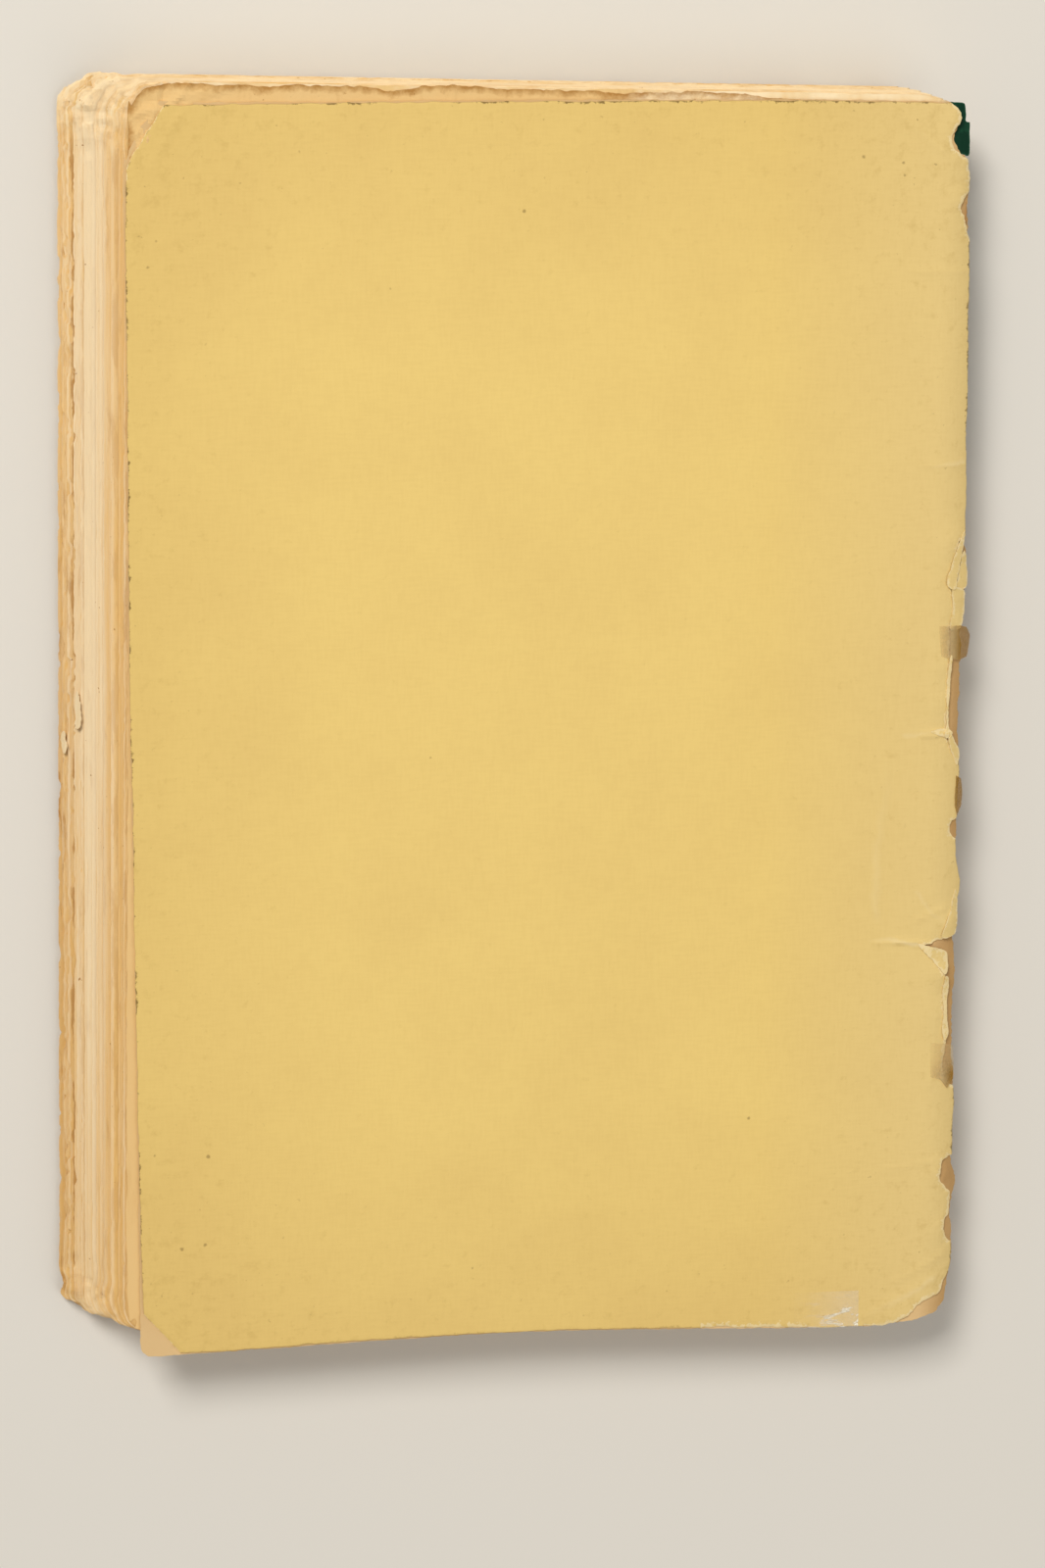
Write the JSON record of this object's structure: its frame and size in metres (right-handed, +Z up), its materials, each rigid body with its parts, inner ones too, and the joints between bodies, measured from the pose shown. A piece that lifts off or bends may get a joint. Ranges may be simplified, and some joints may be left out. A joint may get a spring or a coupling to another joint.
{
  "type": "cookbook",
  "caption": "Worn soft-cover cookbook with sewn, fanned-out yellowed leaves, a leaning cloth-backed spine and two opening card covers.",
  "frame": {"origin": "middle of the base, under the closed book", "axes": "+X towards the spine, +Y towards the head of the pages, +Z up through the back cover"},
  "size_m": [0.169, 0.234, 0.0157],
  "materials": {
    "leaves": "yellowed uncoated paper",
    "hemp_cord": "twisted hemp",
    "kraft_lining": "brown kraft paper and old glue",
    "green_cloth": "dark green book cloth",
    "yellow_card": "worn matte cover card with a fine linen grain",
    "tan_liner": "browned paper",
    "clear_tape": "clear glossy film",
    "old_tape": "brittle amber film"
  },
  "bodies": {
    "text_block": {"text_block": "leaves", "sewing_cord_1": "hemp_cord", "sewing_cord_2": "hemp_cord", "sewing_cord_3": "hemp_cord", "sewing_cord_4": "hemp_cord", "sewing_cord_5": "hemp_cord", "spine_lining": "kraft_lining", "spine_cloth": "green_cloth"},
    "back_cover": {"back_cover": "yellow_card", "back_liner": "tan_liner", "clear_tape": "clear_tape", "old_tape_upper": "old_tape", "old_tape_middle": "old_tape", "old_tape_lower": "old_tape"},
    "front_cover": {"front_cover": "yellow_card", "front_liner": "tan_liner"}
  },
  "joints": [
    {"name": "back_cover_hinge", "type": "hinge", "parent": "text_block", "child": "back_cover", "pos_m": [0.08375, -0.00264, 0.013], "axis": [0, 1, 0], "range_deg": [0, 180]},
    {"name": "front_cover_hinge", "type": "hinge", "parent": "text_block", "child": "front_cover", "pos_m": [0.07062, -0.00365, 0.0003], "axis": [-0.0157, -0.9999, 0], "range_deg": [0, 180]}
  ]
}
